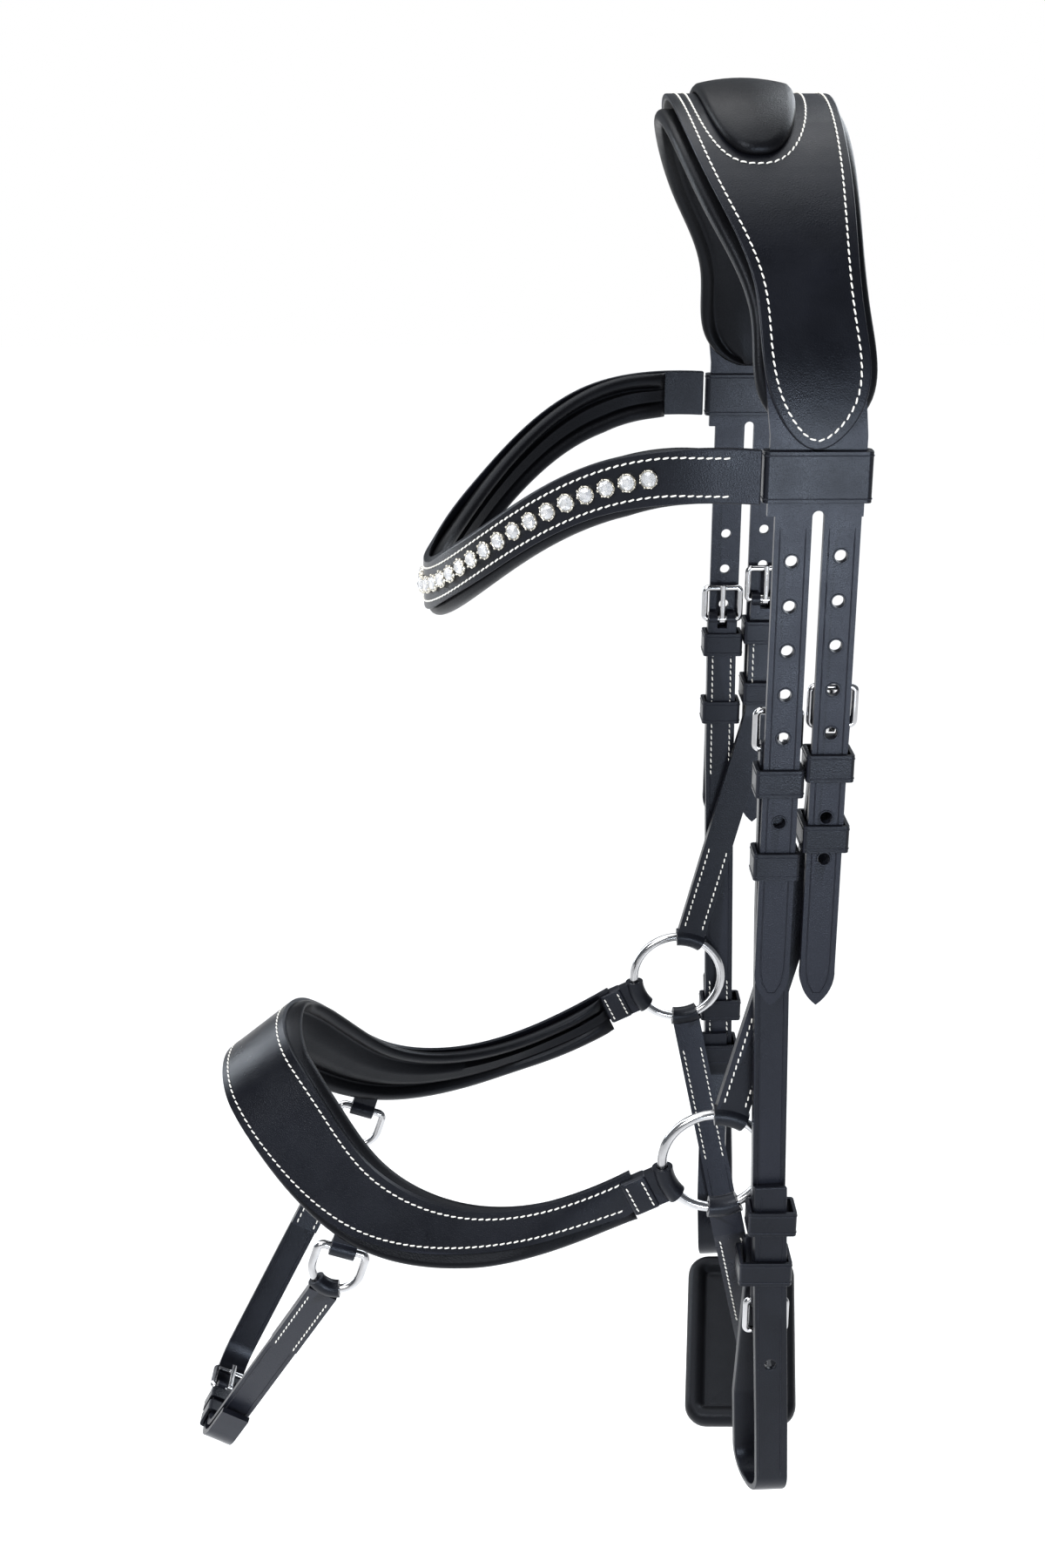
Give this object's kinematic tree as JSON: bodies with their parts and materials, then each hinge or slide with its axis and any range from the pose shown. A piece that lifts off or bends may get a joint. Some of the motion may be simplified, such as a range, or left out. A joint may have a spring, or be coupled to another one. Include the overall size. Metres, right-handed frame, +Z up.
{
  "type": "snaffle bridle",
  "caption": "Black leather snaffle bridle without bit or reins: shaped padded headpiece, crystal browband, leaning anatomic noseband on rings, padded jaw strap and chin strap.",
  "frame": {"origin": "middle of the poll seat, on the underside of the headpiece lining where it rests behind the ears", "axes": "+Z up; the horse faces -X; the horse's left side is -Y and its right side is +Y"},
  "size_m": [0.2857, 0.2052, 0.6005],
  "materials": {
    "bridle_leather": "smooth waxed black bridle leather with a soft bluish sheen",
    "padded_leather": "soft matt black leather over foam",
    "polished_steel": "polished stainless steel",
    "silver_cups": "bright silver-coloured cups",
    "crystal": "clear faceted crystal"
  },
  "bodies": {
    "headpiece": {"crown_strap": "bridle_leather", "headpiece_overlay": "bridle_leather", "headpiece_lining": "padded_leather", "poll_cushion": "padded_leather"},
    "browband": {"browband_outer": "bridle_leather", "browband_lining": "padded_leather", "browband_loop_left": "bridle_leather", "browband_loop_right": "bridle_leather", "crystal_cups": "silver_cups", "crystals": "crystal"},
    "nose_hanger": {"nose_cheek_strap_left": "bridle_leather", "nose_cheek_strap_right": "bridle_leather", "nose_buckle_frame_left": "polished_steel", "nose_buckle_frame_right": "polished_steel", "nose_fixed_keeper_left": "bridle_leather", "nose_fixed_keeper_right": "bridle_leather"},
    "noseband": {"noseband_outer": "bridle_leather", "noseband_lining": "padded_leather", "noseband_end_loop_left": "bridle_leather", "noseband_end_loop_right": "bridle_leather", "chin_ring_left": "polished_steel", "chin_ring_right": "polished_steel", "chin_ring_tab_left": "bridle_leather", "chin_ring_tab_right": "bridle_leather"},
    "jaw": {"jaw_strap": "bridle_leather", "jaw_pad": "padded_leather"},
    "chin": {"chin_buckle_strap": "bridle_leather", "chin_billet": "bridle_leather", "chin_buckle_frame": "polished_steel", "chin_fixed_keeper": "bridle_leather"},
    "chin_tongue": {"chin_buckle_tongue": "polished_steel"},
    "chin_slider": {"chin_sliding_keeper": "bridle_leather"},
    "cheek_left": {"cheekpiece_left": "bridle_leather", "cheek_buckle_frame_left": "polished_steel", "cheek_fixed_keeper_left": "bridle_leather", "bit_strap_left": "bridle_leather", "bit_buckle_frame_left": "polished_steel", "bit_fixed_keeper_left": "bridle_leather"},
    "ring_left": {"noseband_ring_left": "polished_steel"},
    "cheek_tongue_left": {"cheek_buckle_tongue_left": "polished_steel"},
    "cheek_slider_left": {"cheek_sliding_keeper_left": "bridle_leather"},
    "nose_tongue_left": {"nose_buckle_tongue_left": "polished_steel"},
    "nose_slider_left": {"nose_sliding_keeper_left": "bridle_leather"},
    "bit_tongue_left": {"bit_buckle_tongue_left": "polished_steel"},
    "bit_slider_left": {"bit_sliding_keeper_left": "bridle_leather"},
    "cheek_right": {"cheekpiece_right": "bridle_leather", "cheek_buckle_frame_right": "polished_steel", "cheek_fixed_keeper_right": "bridle_leather", "bit_strap_right": "bridle_leather", "bit_buckle_frame_right": "polished_steel", "bit_fixed_keeper_right": "bridle_leather"},
    "ring_right": {"noseband_ring_right": "polished_steel"},
    "cheek_tongue_right": {"cheek_buckle_tongue_right": "polished_steel"},
    "cheek_slider_right": {"cheek_sliding_keeper_right": "bridle_leather"},
    "nose_tongue_right": {"nose_buckle_tongue_right": "polished_steel"},
    "nose_slider_right": {"nose_sliding_keeper_right": "bridle_leather"},
    "bit_tongue_right": {"bit_buckle_tongue_right": "polished_steel"},
    "bit_slider_right": {"bit_sliding_keeper_right": "bridle_leather"}
  },
  "joints": [
    {"name": "browband_slide", "type": "slide", "parent": "headpiece", "child": "browband", "axis": [0, 0, 1], "range_m": [-0.025, 0]},
    {"name": "nose_adjust", "type": "slide", "parent": "headpiece", "child": "nose_hanger", "axis": [0, 0, 1], "range_m": [0, 0.0326]},
    {"name": "cheek_adjust_left", "type": "slide", "parent": "headpiece", "child": "cheek_left", "axis": [0, 0, 1], "range_m": [0, 0.0326]},
    {"name": "cheek_adjust_right", "type": "slide", "parent": "headpiece", "child": "cheek_right", "axis": [0, 0, 1], "range_m": [0, 0.0326]},
    {"name": "ring_turn_left", "type": "hinge", "parent": "nose_hanger", "child": "ring_left", "pos_m": [-0.01, -0.086, -0.392], "axis": [0, 1, 0], "continuous": true},
    {"name": "ring_turn_right", "type": "hinge", "parent": "nose_hanger", "child": "ring_right", "pos_m": [-0.01, 0.086, -0.392], "axis": [0, 1, 0], "continuous": true},
    {"name": "noseband_swing", "type": "hinge", "parent": "nose_hanger", "child": "noseband", "pos_m": [-0.01, 0, -0.392], "axis": [0, 1, 0], "range_deg": [-10, 12]},
    {"name": "jaw_swing", "type": "hinge", "parent": "nose_hanger", "child": "jaw", "pos_m": [-0.01, 0, -0.392], "axis": [0, 1, 0], "range_deg": [-3, 10]},
    {"name": "chin_swing", "type": "hinge", "parent": "noseband", "child": "chin", "pos_m": [-0.1655, 0, -0.458], "axis": [0, 1, 0], "range_deg": [-12, 12]},
    {"name": "cheek_tongue_turn_left", "type": "hinge", "parent": "cheek_left", "child": "cheek_tongue_left", "pos_m": [0.0062, -0.0934, -0.215], "axis": [-1, 0, 0], "range_deg": [0, 85]},
    {"name": "nose_tongue_turn_left", "type": "hinge", "parent": "nose_hanger", "child": "nose_tongue_left", "pos_m": [0.0256, -0.0934, -0.206], "axis": [-1, 0, 0], "range_deg": [0, 85]},
    {"name": "bit_tongue_turn_left", "type": "hinge", "parent": "cheek_left", "child": "bit_tongue_left", "pos_m": [0.0124, -0.0934, -0.452], "axis": [1, 0, 0], "range_deg": [0, 8]},
    {"name": "cheek_keeper_slide_left", "type": "slide", "parent": "cheek_left", "child": "cheek_slider_left", "axis": [0, 0, 1], "range_m": [-0.006, 0.01]},
    {"name": "nose_keeper_slide_left", "type": "slide", "parent": "nose_hanger", "child": "nose_slider_left", "axis": [0, 0, 1], "range_m": [0, 0.008]},
    {"name": "bit_keeper_slide_left", "type": "slide", "parent": "cheek_left", "child": "bit_slider_left", "axis": [0, 0, 1], "range_m": [-0.004, 0.005]},
    {"name": "cheek_tongue_turn_right", "type": "hinge", "parent": "cheek_right", "child": "cheek_tongue_right", "pos_m": [0.0062, 0.0934, -0.215], "axis": [1, 0, 0], "range_deg": [0, 85]},
    {"name": "nose_tongue_turn_right", "type": "hinge", "parent": "nose_hanger", "child": "nose_tongue_right", "pos_m": [0.0256, 0.0934, -0.206], "axis": [1, 0, 0], "range_deg": [0, 85]},
    {"name": "bit_tongue_turn_right", "type": "hinge", "parent": "cheek_right", "child": "bit_tongue_right", "pos_m": [0.0124, 0.0934, -0.452], "axis": [-1, 0, 0], "range_deg": [0, 8]},
    {"name": "cheek_keeper_slide_right", "type": "slide", "parent": "cheek_right", "child": "cheek_slider_right", "axis": [0, 0, 1], "range_m": [-0.006, 0.01]},
    {"name": "nose_keeper_slide_right", "type": "slide", "parent": "nose_hanger", "child": "nose_slider_right", "axis": [0, 0, 1], "range_m": [0, 0.008]},
    {"name": "bit_keeper_slide_right", "type": "slide", "parent": "cheek_right", "child": "bit_slider_right", "axis": [0, 0, 1], "range_m": [-0.004, 0.005]},
    {"name": "chin_tongue_turn", "type": "hinge", "parent": "chin", "child": "chin_tongue", "pos_m": [-0.227, 0.01, -0.57367], "axis": [0.8829, 0, -0.4695], "range_deg": [0, 75]},
    {"name": "chin_keeper_slide", "type": "slide", "parent": "chin", "child": "chin_slider", "axis": [0, 1, 0], "range_m": [-0.0005, 0.0025]}
  ],
  "couplings": [
    {"joint": "cheek_adjust_left", "follows": "nose_adjust", "ratio": 1},
    {"joint": "cheek_adjust_right", "follows": "nose_adjust", "ratio": 1}
  ]
}
